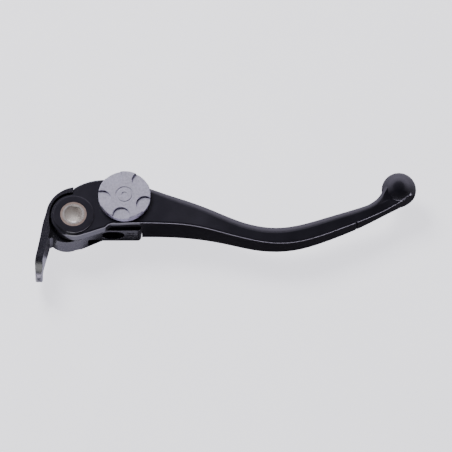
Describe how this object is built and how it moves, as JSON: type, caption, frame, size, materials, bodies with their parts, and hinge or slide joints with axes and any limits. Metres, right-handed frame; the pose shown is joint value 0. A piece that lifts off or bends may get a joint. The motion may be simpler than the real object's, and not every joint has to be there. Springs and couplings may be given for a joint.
{
  "type": "motorcycle clutch lever",
  "caption": "Curved hand lever with ball end, on a short rocker with a piston tongue, and a round dial that sets its reach.",
  "frame": {"origin": "middle of the pivot bore, halfway up the stack that the lever bracket's ears hold", "axes": "+Z along the pivot axis towards the dial's face, +X along the blade towards its ball end, +Y forward, away from the rider and the grip"},
  "size_m": [0.1735, 0.0532, 0.0201],
  "materials": {
    "black_gloss": "gloss black coat on forged aluminium",
    "black_satin": "satin black anodised aluminium",
    "hard_steel": "hardened and ground steel",
    "bright_steel": "polished steel",
    "bronze": "turned sintered bronze",
    "spring_steel": "drawn spring wire",
    "dial_metal": "blasted silver anodised aluminium",
    "zinc_steel": "bright zinc plated steel",
    "bush_plastic": "natural acetal",
    "black_rubber": "moulded nitrile"
  },
  "bodies": {
    "pivot": {"pivot_sleeve": "bright_steel"},
    "rocker": {"rocker": "black_satin", "wear_pad": "hard_steel", "hub_bush": "bronze", "return_spring": "spring_steel"},
    "blade": {"lever_blade": "black_gloss", "eye_bush": "bronze", "stem_bush": "bush_plastic", "detent_ball": "bright_steel", "detent_spring": "spring_steel"},
    "dial": {"reach_dial": "dial_metal", "reach_cam": "hard_steel", "cam_washer": "zinc_steel", "cam_screw": "zinc_steel", "dial_seal": "black_rubber"}
  },
  "joints": [
    {"name": "lever_pull", "type": "hinge", "parent": "pivot", "child": "rocker", "pos_m": [0, 0, 0], "axis": [0, 0, 1], "range_deg": [-22, 0]},
    {"name": "reach_adjust", "type": "hinge", "parent": "rocker", "child": "blade", "pos_m": [0, 0, 0], "axis": [0, 0, 1], "range_deg": [-6, 0]},
    {"name": "dial_turn", "type": "hinge", "parent": "blade", "child": "dial", "pos_m": [0.0232, 0.00845, 0.0095], "axis": [0, 0, 1], "range_deg": [-0.01, 288.01]}
  ],
  "couplings": [
    {"joint": "dial_turn", "follows": "reach_adjust", "ratio": -48}
  ]
}
